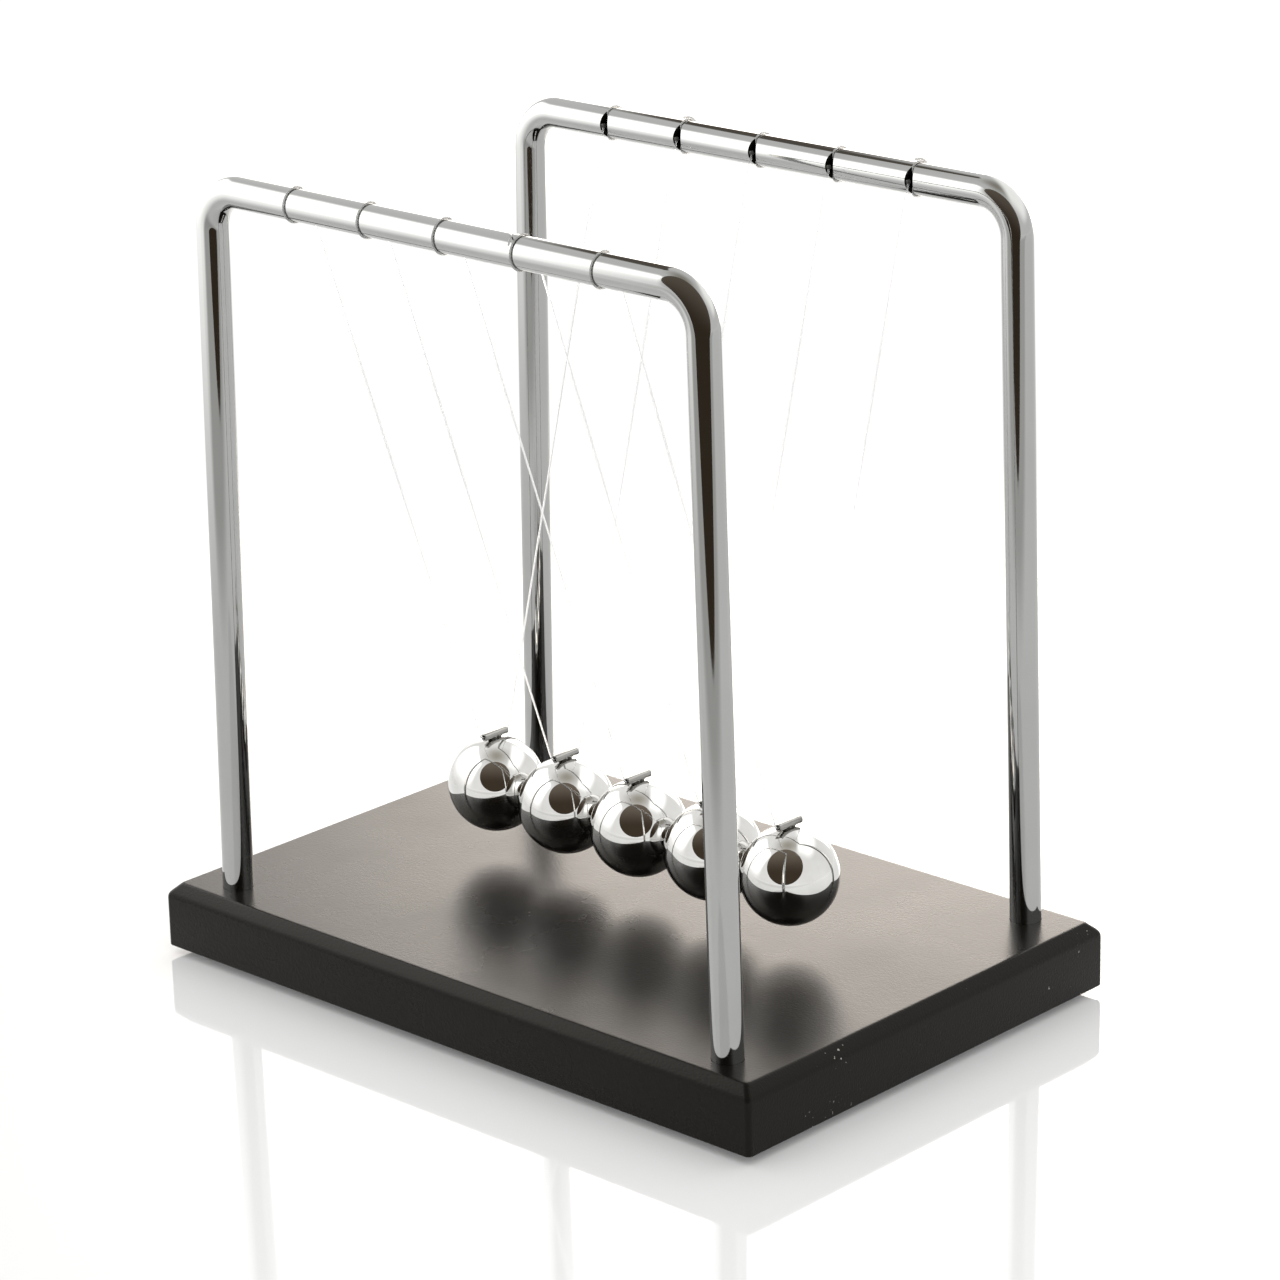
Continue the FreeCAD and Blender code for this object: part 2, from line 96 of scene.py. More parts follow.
STEM_SHORT = 0.55 * MM
LINE_BEND = 1.0 * MM
KNOT_RADIUS = 0.5 * MM
KNOT_HALF = 0.5 * MM
KNOT_STRAND = 0.19 * MM
KNOT_TURNS = 3
LOOP_RADIUS = TUBE_RADIUS + LINE_RADIUS + 0.02 * MM
LOOP_START = 66
LOOP_STOP = 294
LOOP_DIVES = ((0.15, 10), (0.75, 18), (1.35, 27))  # mm into the notch, and degrees further on
TAG_ENDS = [("front", 4), ("rear", 2), ("rear", 5)]
FOOT_ROUND = 0.6 * MM
FOOT_DISH = 0.25 * MM
FLAT_ENOUGH = 0.98  # upward share of a face's normal, above which it is part of the board's flat


# ---- mesh helpers ------------------------------------------------------------

def new_object(name, mesh):
    piece = bpy.data.objects.new(name, mesh)
    bpy.context.scene.collection.objects.link(piece)
    return piece


def finish_mesh(mesh, sharp_degrees=35):
    """Smooth shading, with edges sharper than the given angle kept crisp."""
    mesh.update()
    mesh.shade_smooth()
    mesh.set_sharp_from_angle(angle=math.radians(sharp_degrees))
    return mesh


def mesh_from(name, verts, faces, sharp_degrees=35):
    mesh = bpy.data.meshes.new(name)
    mesh.from_pydata([tuple(vert) for vert in verts], [], faces)
    shape = bmesh.new()
    shape.from_mesh(mesh)
    bmesh.ops.remove_doubles(shape, verts=shape.verts, dist=1e-7)
    bmesh.ops.recalc_face_normals(shape, faces=shape.faces)
    shape.to_mesh(mesh)
    shape.free()
    return finish_mesh(mesh, sharp_degrees)


def ring_faces(rows, steps):
    """Quads that join neighbouring rings of vertices."""
    faces = []
    for row in range(rows):
        for step in range(steps):
            after = (step + 1) % steps
            base = row * steps
            faces.append((base + step, base + after, base + steps + after, base + steps + step))
    return faces


def lathe(profile, steps=64, turn=None):
    """Solid of revolution about Z from (radius, height) points that start and end at radius 0
    or join up. Returns verts and faces."""
    turn = turn or Matrix.Identity(4)
    verts = []
    for radius, height in profile:
        for step in range(steps):
            angle = 2 * math.pi * step / steps
            verts.append(turn @ Vector((radius * math.cos(angle), radius * math.sin(angle), height)))
    faces = []
    closed = profile[0][0] > 0 and profile[-1][0] > 0
    rows = len(profile) if closed else len(profile) - 1
    for row in range(rows):
        for step in range(steps):
            below = row * steps
            above = ((row + 1) % len(profile)) * steps
            after = (step + 1) % steps
            faces.append((below + step, below + after, above + after, above + step))
    return verts, faces


def sweep(points, radius, steps=16):
    """Round bar along a list of points, with flat ends. Returns verts and faces."""
    tangents = []
    for index in range(len(points)):
        before = points[max(index - 1, 0)]
        after = points[min(index + 1, len(points) - 1)]
        tangents.append((after - before).normalized())
    normal = tangents[0].orthogonal().normalized()
    verts = []
    for point, tangent in zip(points, tangents):
        normal = (normal - tangent * normal.dot(tangent)).normalized()
        side = tangent.cross(normal)
        for step in range(steps):
            angle = 2 * math.pi * step / steps
            verts.append(point + radius * (math.cos(angle) * normal + math.sin(angle) * side))
    faces = [tuple(range(steps))] + ring_faces(len(points) - 1, steps)
    last = (len(points) - 1) * steps
    faces.append(tuple(last + step for step in range(steps)))
    return verts, faces


def join_parts(parts):
    """One vertex and face list from several."""
    verts = []
    faces = []
    for part_verts, part_faces in parts:
        start = len(verts)
        verts.extend(part_verts)
        faces.extend(tuple(start + index for index in face) for face in part_faces)
    return verts, faces


def cut_away(piece, cutter):
    """Take the cutter's volume out of a piece for good, and drop the cutter."""
    modifier = piece.modifiers.new("cut", "BOOLEAN")
    modifier.operation = "DIFFERENCE"
    modifier.solver = "EXACT"
    modifier.object = cutter
    bpy.context.view_layer.update()
    graph = bpy.context.evaluated_depsgraph_get()
    result = bpy.data.meshes.new_from_object(piece.evaluated_get(graph))
    piece.modifiers.clear()
    piece.data = result
    bpy.data.objects.remove(cutter)
    return finish_mesh(result)


def span(start, stop, steps):
    """Evenly spaced numbers, both ends among them."""
    return [start + (stop - start) * step / steps for step in range(steps + 1)]


def arc_points(centre, radius, start, stop, steps):
    """Points of an arc in a plane, as (x, y) pairs; angles in radians."""
    return [(centre[0] + radius * math.cos(angle), centre[1] + radius * math.sin(angle))
            for angle in span(start, stop, steps)]


def rounded_corner(before, corner, after, setback, steps=4):
    """Points that round one corner of a profile, starting and ending a setback away from it."""
    point = Vector(corner)
    entry = point + (Vector(before) - point).normalized() * setback
    leave = point + (Vector(after) - point).normalized() * setback
    points = []
    for share in span(0, 1, steps):
        first = entry.lerp(point, share)
        second = point.lerp(leave, share)
        points.append(tuple(first.lerp(second, share)))
    return points


def leg_turn(side, end):
    """Frame of a leg: its axis as Z, with its origin at the board's top."""
    foot_x = end * leg_x_at_board()
    place = Matrix.Translation((foot_x, side * RAIL_Y, board_high.z))
    return place @ Matrix.Rotation(-end * LEAN, 4, "Y")


def leg_x_at_board():
    """Distance of a leg's axis from the middle, where it enters the board."""
    bottom_x = rail_high.x - TUBE_RADIUS * math.cos(LEAN)
    return bottom_x - SOCKET_DEPTH * math.sin(LEAN)


# ---- materials ---------------------------------------------------------------

def new_material(name):
    """A fresh node material; returns it with its shader and its object coordinates."""
    material = bpy.data.materials.new(name)
    material.use_nodes = True
    nodes = material.node_tree.nodes
    shader = nodes["Principled BSDF"]
    coords = nodes.new("ShaderNodeTexCoord").outputs["Object"]
    return material, shader, coords


def noise(material, coords, scale, detail=3, stretch=(1, 1, 1)):
    """Noise over the object, as one value."""
    nodes = material.node_tree.nodes
    links = material.node_tree.links
    mapping = nodes.new("ShaderNodeMapping")
    mapping.inputs["Scale"].default_value = stretch
    links.new(coords, mapping.inputs["Vector"])
    texture = nodes.new("ShaderNodeTexNoise")
    texture.inputs["Scale"].default_value = scale
    texture.inputs["Detail"].default_value = detail
    texture.inputs["Roughness"].default_value = 0.55
    links.new(mapping.outputs["Vector"], texture.inputs["Vector"])
    return texture.outputs["Fac"]


def spread(material, value, low, high, start=0.3, stop=0.7):
    """Map a noise value from start..stop onto low..high."""
    node = material.node_tree.nodes.new("ShaderNodeMapRange")
    node.inputs["From Min"].default_value = start
    node.inputs["From Max"].default_value = stop
    node.inputs["To Min"].default_value = low
    node.inputs["To Max"].default_value = high
    material.node_tree.links.new(value, node.inputs["Value"])
    return node.outputs["Result"]


def tint(material, value, dark, light):
    """Colour between two ends, by a value from 0 to 1."""
    ramp = material.node_tree.nodes.new("ShaderNodeValToRGB")
    ramp.color_ramp.elements[0].color = (*dark, 1)
    ramp.color_ramp.elements[1].color = (*light, 1)
    material.node_tree.links.new(value, ramp.inputs["Fac"])
    return ramp.outputs["Color"]


def smooth_step(material, value, start, stop):
    """0 before start and 1 after stop, with a soft change between them."""
    node = material.node_tree.nodes.new("ShaderNodeMapRange")
    node.interpolation_type = "SMOOTHSTEP"
    node.inputs["From Min"].default_value = start
    node.inputs["From Max"].default_value = stop
    material.node_tree.links.new(value, node.inputs["Value"])
    return node.outputs["Result"]


def product(material, values):
    """All the values multiplied together."""
    total = values[0]
    for value in values[1:]:
        node = material.node_tree.nodes.new("ShaderNodeMath")
        node.operation = "MULTIPLY"
        material.node_tree.links.new(total, node.inputs[0])
        material.node_tree.links.new(value, node.inputs[1])
        total = node.outputs["Value"]
    return total


def bump(material, shader, value, strength, distance):
    node = material.node_tree.nodes.new("ShaderNodeBump")
    node.inputs["Strength"].default_value = strength
    node.inputs["Distance"].default_value = distance
    material.node_tree.links.new(value, node.inputs["Height"])
    material.node_tree.links.new(node.outputs["Normal"], shader.inputs["Normal"])


def polished_metal(name, dark, light, rough_low, rough_high, smudge_scale, grain, stretch):
    """Bright metal with faint smudges in its polish and a fine directional grain."""
    material, shader, coords = new_material(name)
    links = material.node_tree.links
    shader.inputs["Metallic"].default_value = 1
    smudge = noise(material, coords, smudge_scale, detail=4)
    links.new(tint(material, smudge, dark, light), shader.inputs["Base Color"])
    links.new(spread(material, smudge, rough_low, rough_high), shader.inputs["Roughness"])
    lines = noise(material, coords, 900, detail=2, stretch=stretch)
    bump(material, shader, lines, grain, 0.02 * MM)
    return material


def board_material(name, dark, light, gloss, peel_strength):
    """Black lacquered board: fine orange peel, and a few pale specks of dust."""
    material, shader, coords = new_material(name)
    nodes = material.node_tree.nodes
    links = material.node_tree.links
    clouds = noise(material, coords, 28, detail=5)
    ground = tint(material, clouds, dark, light)
    specks = noise(material, coords, 1300, detail=1)
    patches = noise(material, coords, 45, detail=2)
    # the dust has settled on the right end face only
    split = nodes.new("ShaderNodeSeparateXYZ")
    links.new(coords, split.inputs["Vector"])
    end_x = board_high.x
    dust = product(material, [
        spread(material, specks, 0, 1, 0.70, 0.74),
        spread(material, patches, 0, 1, 0.53, 0.60),
        spread(material, split.outputs["X"], 0, 1, end_x - 2.0 * MM, end_x - 1.4 * MM)])
    mix = nodes.new("ShaderNodeMix")
    mix.data_type = "RGBA"
    mix.inputs["B"].default_value = (0.42, 0.40, 0.37, 1)
    links.new(dust, mix.inputs["Factor"])
    links.new(ground, mix.inputs["A"])
    links.new(mix.outputs["Result"], shader.inputs["Base Color"])
    links.new(spread(material, clouds, 0.24, 0.31), shader.inputs["Roughness"])
    shader.inputs["IOR"].default_value = 1.33
    shader.inputs["Specular IOR Level"].default_value = gloss
    shader.inputs["Specular Tint"].default_value = (1.0, 0.93, 0.85, 1)
    peel = noise(material, coords, 1500, detail=2, stretch=(1, 1.6, 1))
    bump(material, shader, peel, peel_strength, 0.06 * MM)
    return material


def nylon_material(name, dark, light, clear):
    """Monofilament; clear is the share of light that passes through."""
    material, shader, coords = new_material(name)
    links = material.node_tree.links
    clouds = noise(material, coords, 400, detail=2)
    links.new(tint(material, clouds, dark, light), shader.inputs["Base Color"])
    links.new(spread(material, clouds, 0.10, 0.22), shader.inputs["Roughness"])
    shader.inputs["IOR"].default_value = 1.30
    shader.inputs["Transmission Weight"].default_value = clear
    return material


def rubber_material():
    """Dull black rubber with a fine grain."""
    material, shader, coords = new_material("foot_rubber")
    links = material.node_tree.links
    clouds = noise(material, coords, 300, detail=4)
    links.new(tint(material, clouds, (0.018, 0.018, 0.018), (0.035, 0.034, 0.033)),
              shader.inputs["Base Color"])
    links.new(spread(material, clouds, 0.62, 0.78), shader.inputs["Roughness"])
    bump(material, shader, noise(material, coords, 2500, detail=2), 0.35, 0.05 * MM)
    return material


TUBE_CHROME = polished_metal("tube_chrome", (0.385, 0.387, 0.38), (0.43, 0.432, 0.425),
                             0.035, 0.08, 55, 0.06, (1, 1, 1))
# painted shade: near black metal that stands in for the shade inside the tubes' bores and notches
TUBE_INSIDE_SHADE = polished_metal("tube_inside_painted_shade", (0.010, 0.010, 0.009), (0.022, 0.021, 0.019),
                             0.45, 0.65, 300, 0.3, (1, 1, 1))
BALL_STEEL = polished_metal("ball_steel", (0.56, 0.555, 0.54), (0.80, 0.795, 0.78),
                            0.012, 0.035, 160, 0.06, (1, 1, 1))
CLIP_CHROME = polished_metal("clip_chrome", (0.27, 0.265, 0.25), (0.37, 0.365, 0.35),
                             0.16, 0.28, 500, 0.15, (1, 0.1, 1))
WELD_GREY = polished_metal("weld_grey", (0.022, 0.021, 0.019), (0.07, 0.067, 0.06),
                           0.30, 0.50, 900, 0.6, (1, 1, 1))
PLUG_BRASS = polished_metal("plug_brass", (0.62, 0.43, 0.18), (0.74, 0.54, 0.26),
                            0.22, 0.34, 400, 0.2, (1, 1, 0.1))
SCREW_ZINC = polished_metal("screw_zinc", (0.45, 0.46, 0.47), (0.60, 0.61, 0.62),
                            0.22, 0.38, 600, 0.2, (1, 1, 1))
BOARD_BLACK = board_material("board_black", (0.0045, 0.0042, 0.0038), (0.0075, 0.007, 0.0062),
                             0.4, 0.5)
BOARD_EDGE = board_material("board_edge", (0.0057, 0.0051, 0.0045), (0.0098, 0.0087, 0.0077),
                            0.25, 1.0)
LINE_NYLON = nylon_material("line_nylon", (0.95, 0.955, 0.955), (1.0, 1.0, 1.0), 0.8)
# painted shade: the same line, made greyer and less clear where it wraps the rails
TURN_SHADE_NYLON = nylon_material("turn_nylon_painted_shade", (0.42, 0.42, 0.41), (0.66, 0.66, 0.65), 0.4)
# painted shade: the knots are near black for the shade they sit in at the notches; the line itself is
# clear
KNOT_SHADE_NYLON = nylon_material("knot_nylon_painted_shade", (0.020, 0.020, 0.018), (0.07, 0.068, 0.062), 0.0)
RUBBER = rubber_material()


def settle(piece, material, body, replaced):
    """Give a piece its finish and its body, in place of its CAD nodes."""
    piece.data.materials.clear()
    piece.data.materials.append(material)
    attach(piece, body)
    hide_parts(*replaced)
    return piece


def add_piece(name, parts, material, body, replaced, sharp_degrees=35):
    """Make a piece from vertex and face lists, and settle it."""
    verts, faces = join_parts(parts)
    piece = new_object(name, mesh_from(name, verts, faces, sharp_degrees))
    return settle(piece, material, body, replaced)


# ---- board -------------------------------------------------------------------

def board_profile():
    """(inset, height) points up the edge of the board, with every arris eased."""
    height = board_high.z - board_low.z
    outline = [(2 * EDGE_ROUND, 0), (0, 0), (0, height - BOARD_BEVEL), (BOARD_BEVEL, height),
               (BOARD_BEVEL + 2 * EDGE_ROUND, height)]
    points = [outline[0]]
    for index, setback in enumerate((EDGE_ROUND, BEVEL_ROUND, EDGE_ROUND), start=1):
        points.extend(rounded_corner(*outline[index - 1:index + 2], setback))
    points.append(outline[-1])
    return points


def board_ring(inset, z):
    """Rounded rectangle at one height of the board."""
    half_x = board_high.x - inset - BOARD_CORNER
    half_y = board_high.y - inset - BOARD_CORNER
    corners = [(half_x, half_y), (-half_x, half_y), (-half_x, -half_y), (half_x, -half_y)]
    ring = []
    for quarter, (x, y) in enumerate(corners):
        start = quarter * math.pi / 2
        for px, py in arc_points((x, y), BOARD_CORNER, start, start + math.pi / 2, 6):
            ring.append(Vector((px, py, z)))
    return ring


def make_board():
    """Board with its four leg sockets and screw passages; its edges have a duller finish."""
    rings = [board_ring(inset, board_low.z + height) for inset, height in board_profile()]
    count = len(rings[0])
    verts = [vert for ring in rings for vert in ring]
    faces = [tuple(reversed(range(count)))] + ring_faces(len(rings) - 1, count)
    last = (len(rings) - 1) * count
    faces.append(tuple(last + step for step in range(count)))
    board = new_object("board", mesh_from("board", verts, faces, 40))
    thick = board_high.z - board_low.z
    hole = [(0, -thick - MM), (SCREW_HEAD + MM * 0.6, -thick - MM),
            (SCREW_HEAD, -thick), (SCREW_HOLE, -thick + SCREW_HEAD_DEEP),
            (SCREW_HOLE, -SOCKET_DEPTH), (SOCKET_RADIUS, -SOCKET_DEPTH),
            (SOCKET_RADIUS, 2 * MM), (0, 2 * MM)]
    holes = [lathe(hole, 64, leg_turn(side, end)) for side in SIDES.values()
             for end in ENDS.values()]
    cutter_verts, cutter_faces = join_parts(holes)
    cut_away(board, new_object("holes", mesh_from("holes", cutter_verts, cutter_faces)))
    settle(board, BOARD_BLACK, "stand", ["base_board"])
    board.data.materials.append(BOARD_EDGE)
    for face in board.data.polygons:
        if abs(face.normal.z) < FLAT_ENOUGH:
            face.material_index = 1


# ---- bent tubes --------------------------------------------------------------

def tube_path():
    """Centre-line of a bent tube in its own X-Z plane, from the left foot to the right foot."""
    height = RAIL_Z - board_high.z
    foot_x = leg_x_at_board()
    corner_x = foot_x - height * math.tan(LEAN)
    reach = BEND_RADIUS * math.tan((math.pi / 2 - LEAN) / 2)
    centre = (corner_x - reach, RAIL_Z - BEND_RADIUS)
    bend = arc_points(centre, BEND_RADIUS, math.pi / 2, LEAN, 32)
    down = Vector((math.sin(LEAN), -math.cos(LEAN)))
    foot = Vector((foot_x, board_high.z)) + down * SOCKET_DEPTH
    leg_start = Vector(bend[-1])
    leg = [tuple(leg_start.lerp(foot, share)) for share in span(0, 1, 48)][1:]
    half_rail = [(x, RAIL_Z) for x in span(0, bend[0][0], 260)[:-1]]
    right = half_rail + bend + leg
    left = [(-x, z) for x, z in reversed(right[1:])]
    return left + right


def hollow_sweep(path, y, outer, inner, steps):
    """Tube with a bore along a path in the X-Z plane at the given Y."""
    points = [Vector((x, y, z)) for x, z in path]
    across = Vector((0, 1, 0))
    verts = []
    for radius in (outer, inner):
        for index, point in enumerate(points):
            before = points[max(index - 1, 0)]
            after = points[min(index + 1, len(points) - 1)]
            out = (after - before).normalized().cross(across)
            for step in range(steps):
                angle = 2 * math.pi * step / steps
                verts.append(point + radius * (math.cos(angle) * across + math.sin(angle) * out))
    faces = []
    length = len(points) * steps
    for row in range(len(points) - 1):
        for step in range(steps):
            after = (step + 1) % steps
            base = row * steps
            quad = (base + step, base + after, base + steps + after, base + steps + step)
            faces.append(quad)
            faces.append(tuple(length + index for index in reversed(quad)))
    for base, flip in ((0, False), (length - steps, True)):
        for step in range(steps):
            after = (step + 1) % steps
            quad = (base + step, base + length + step, base + length + after, base + after)
            faces.append(tuple(reversed(quad)) if flip else quad)
    return verts, faces


def notch_cutters(side):
    """Five V-shaped wedges that open the ball side of a rail."""
    parts = []
    inner = -side
    apex_y = side * RAIL_Y + inner * (TUBE_RADIUS - NOTCH_DEPTH)
    mouth_y = side * RAIL_Y + inner * (TUBE_RADIUS + MM)
    half = NOTCH_SLOPE * (NOTCH_DEPTH + MM)
    for x in STATION_X:
        low = RAIL_Z - 2 * TUBE_RADIUS
        high = RAIL_Z + 2 * TUBE_RADIUS
        wedge = [(x, apex_y), (x + half, mouth_y), (x - half, mouth_y)]
        verts = [Vector((px, py, low)) for px, py in wedge]
        verts += [Vector((px, py, high)) for px, py in wedge]
        faces = [(0, 1, 2), (3, 4, 5), (0, 1, 4, 3), (1, 2, 5, 4), (2, 0, 3, 5)]
        parts.append((verts, faces))
    return join_parts(parts)


def make_tube(side_name):
    """Bent tube with its notches; its bore and notch walls along the rail are painted near black, as
    painted shade.
    """
    side = SIDES[side_name]
    verts, faces = hollow_sweep(tube_path(), side * RAIL_Y, TUBE_RADIUS, TUBE_RADIUS - TUBE_WALL, 72)
    name = f"{side_name}_tube"
    tube = new_object(name, mesh_from(name, verts, faces))
    cutter_verts, cutter_faces = notch_cutters(side)
    cut_away(tube, new_object("notches", mesh_from("notches", cutter_verts, cutter_faces)))
    settle(tube, TUBE_CHROME, "stand", [f"{side_name}_frame"])
    # painted shade on the bore and the notch walls along the straight rail
    tube.data.materials.append(TUBE_INSIDE_SHADE)
    skin = TUBE_RADIUS - 0.06 * MM
    straight = rail_high.x - TUBE_RADIUS - BEND_RADIUS - 4 * MM
    for face in tube.data.polygons:
        away = math.hypot(face.center.y - side * RAIL_Y, face.center.z - RAIL_Z)
        if away < skin and abs(face.center.x) < straight:
            face.material_index = 1


# ---- pendulums ---------------------------------------------------------------

def make_ball(number, x):
    """Mirror ball, turned in one profile with the blind hole for its stem."""
    top = math.acos(STEM_RADIUS / BALL_RADIUS)
    profile = arc_points((0, 0), BALL_RADIUS, -math.pi / 2, top, 96)
    profile[0] = (0, -BALL_RADIUS)
    hole_z = BALL_RADIUS - STEM_DEPTH
    profile += [(STEM_RADIUS, hole_z), (0, hole_z)]
    turn = Matrix.Translation((x, ROW_Y, BALL_Z))
    add_piece(f"steel_ball_{number}", [lathe(profile, 128, turn)], BALL_STEEL,
              f"pendulum_{number}", [f"ball_{number}"])


def make_clip(number, x):
    """Cut length of small tube with eased lips, on a stem with a bead of weld at its foot."""
    outer_lip = (CLIP_RADIUS, CLIP_HALF)
    inner_lip = (CLIP_BORE, CLIP_HALF)
    outer = rounded_corner((CLIP_RADIUS, 0), outer_lip, inner_lip, CLIP_LIP)
    inner = rounded_corner(outer_lip, inner_lip, (CLIP_BORE, 0), CLIP_LIP)
    upper = outer + inner
    lower = [(radius, -height) for radius, height in reversed(upper)]
    lay = Matrix.Translation((x, ROW_Y, CLIP_Z)) @ Matrix.Rotation(math.pi / 2, 4, "X")
    barrel = lathe(upper + lower, 40, lay)
    rise = CLIP_Z - BALL_Z - BALL_RADIUS
    pin_top = rise - STEM_SHORT
    pin = [(0, -STEM_DEPTH), (STEM_RADIUS, -STEM_DEPTH), (STEM_RADIUS, pin_top), (0, pin_top)]
    top = Matrix.Translation((x, ROW_Y, BALL_Z + BALL_RADIUS))
    stem = lathe(pin, 32, top)
    piece = add_piece(f"ball_clip_{number}", [barrel, stem, weld_bead(x, rise)], CLIP_CHROME,
                      f"pendulum_{number}", [f"clip_{number}"])
    piece.data.materials.append(WELD_GREY)
    for face in piece.data.polygons:
        from_axis = math.hypot(face.center.x - x, face.center.z - CLIP_Z)
        if face.center.z < CLIP_Z - 0.35 * MM and from_axis > CLIP_RADIUS + 0.01 * MM:
            face.material_index = 1


def weld_bead(x, rise):
    """Uneven bead of solder along the seam between a clip and its ball, heavier at the front."""
    rows = 20
    steps = 16
    thinnest = 0.01 * MM
    verts = []
    for row in range(rows + 1):
        share = row / rows
        y = ROW_Y - WELD_LONG + 2 * WELD_LONG * share
        swell = math.sin(math.pi * share) ** 0.6
        lump = 1 + 0.14 * math.sin(9 * share + 1) + 0.10 * math.sin(23 * share)
        wide = max(WELD_RADIUS * swell * lump * (1.15 - 0.4 * share), thinnest)
        sag = BALL_RADIUS - math.sqrt(BALL_RADIUS ** 2 - (y - ROW_Y) ** 2)
        middle = BALL_Z + BALL_RADIUS - sag + WELD_LIFT
        tall = max((rise * 0.55 + sag) * swell, thinnest)
        for step in range(steps):
            angle = 2 * math.pi * step / steps
            verts.append(Vector((x + wide * math.cos(angle), y, middle + tall * math.sin(angle))))
    faces = [tuple(range(steps)), tuple(rows * steps + step for step in range(steps))]
    return verts, faces + ring_faces(rows, steps)


def half_line(side):
    """(y, z) points from a clip's mouth, round a small bend and up to the knot."""
    mouth = side * CLIP_HALF
    pivot = Vector((side * PIVOT_Y - ROW_Y, RAIL_Z - CLIP_Z))
    centre = Vector((mouth, LINE_BEND))
    away = pivot - centre
    tangent_turn = math.acos(LINE_BEND / away.length)
    heading = math.atan2(away.y, side * away.x)
    stop = heading - tangent_turn
    points = []
    for angle in span(-math.pi / 2, stop, 8):
        points.append(centre + Vector((side * math.cos(angle), math.sin(angle))) * LINE_BEND)
    start = points[-1]
    ending = pivot + (start - pivot).normalized() * KNOT_RADIUS * 0.8
    points += [start.lerp(ending, share) for share in span(0, 1, 40)[1:]]
    return points


def make_line(number, x):
    """One V of line from knot to knot, through the clip."""
    route = list(reversed(half_line(-1))) + half_line(1)
    path = [Vector((x, ROW_Y + y, CLIP_Z + z)) for y, z in route]
    add_piece(f"nylon_line_{number}", [sweep(path, LINE_RADIUS, 12)], LINE_NYLON,
              f"pendulum_{number}", [f"line_{number}"], 60)


def make_knot(side_name, number, x):
    """Tight turns of line round a straight core, along the swing axis."""
    middle_y = SIDES[side_name] * PIVOT_Y
    coil = KNOT_RADIUS - KNOT_STRAND
    points = []
    for share in span(0, 1, 16 * KNOT_TURNS):
        angle = 2 * math.pi * KNOT_TURNS * share
        y = middle_y + (share - 0.5) * 2 * (KNOT_HALF - KNOT_STRAND)
        points.append(Vector((x + coil * math.cos(angle), y, RAIL_Z + coil * math.sin(angle))))
    core = [Vector((x, middle_y + share * KNOT_HALF * 0.9, RAIL_Z)) for share in span(-1, 1, 4)]
    parts = [sweep(points, KNOT_STRAND, 10), sweep(core, KNOT_STRAND, 10)]
    add_piece(f"line_knot_{side_name}_{number}", parts, KNOT_SHADE_NYLON,
              f"pendulum_{number}", [f"knot_{side_name}_{number}"], 60)


def loop_point(side, x, radius, degrees):
    """Point round a rail; 0 degrees faces the balls and 90 is on top."""
    angle = math.radians(degrees)
    return Vector((x, side * (RAIL_Y - radius * math.cos(angle)),
                   RAIL_Z + radius * math.sin(angle)))


def tag_end(side, x):
    """Cut end of line that curls up and away from the outside of the rail."""
    points = []
    for share in span(0, 1, 12):
        radius = LOOP_RADIUS + 0.42 * MM + 0.35 * MM * share
        along = x - 0.5 * MM - 1.6 * MM * share * share
        point = loop_point(side, along, radius, 150 - 46 * share)
        point.z = min(point.z, RAIL_Z + LOOP_RADIUS)
        points.append(point)
    return sweep(points, LINE_RADIUS * 0.9, 10)


def make_loop(side_name, number, x):
    """Turn of line that leaves the knot, goes over and under the rail and into the notch."""
    side = SIDES[side_name]
    points = []
    for angle in span(LOOP_START, LOOP_STOP, 60):
        points.append(loop_point(side, x, LOOP_RADIUS, angle))
    for dive, turn in LOOP_DIVES:
        radius = LOOP_RADIUS - dive * MM
        points.insert(0, loop_point(side, x, radius, LOOP_START - turn))
        points.append(loop_point(side, x, radius, LOOP_STOP + turn))
    parts = [sweep(points, LINE_RADIUS, 12)]
    if (side_name, number) in TAG_ENDS:
        parts.append(tag_end(side, x))
    add_piece(f"rail_turn_{side_name}_{number}", parts, TURN_SHADE_NYLON,
              "stand", [f"rail_loop_{side_name}_{number}"], 60)


def make_foot(side_name, end_name):
    """Soft pad with a rolled lower rim and a shallow dish underneath."""
    node = f"foot_{side_name}_{end_name}"
    low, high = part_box(node)
    radius = (high.x - low.x) / 2
    thick = high.z - low.z
    centre = (low + high) / 2
    rim = rounded_corner((radius * 0.6, 0), (radius, 0), (radius, thick), FOOT_ROUND, 6)
    dish = [(0, FOOT_DISH), (radius * 0.6, FOOT_DISH), (radius * 0.72, 0)]
    profile = dish + rim + [(radius, thick), (0, thick)]
    turn = Matrix.Translation((centre.x, centre.y, low.z))
    add_piece(f"pad_{side_name}_{end_name}", [lathe(profile, 64, turn)], RUBBER,
              "stand", [node])


def finish_node(node_name, material):
    """Better finish on a CAD node that stays as it is."""
    materials = frame["nodes"][node_name].data.materials
    materials.clear()
    materials.append(material)


# ---- build the pieces --------------------------------------------------------
make_board()
for side_name in SIDES:
    make_tube(side_name)
    for end_name in ENDS:
        make_foot(side_name, end_name)
        finish_node(f"leg_plug_{side_name}_{end_name}", PLUG_BRASS)
        finish_node(f"leg_screw_{side_name}_{end_name}", SCREW_ZINC)
for number, x in enumerate(STATION_X, start=1):
    make_ball(number, x)
    make_clip(number, x)
    make_line(number, x)
    for side_name in SIDES:
        make_knot(side_name, number, x)
        make_loop(side_name, number, x)


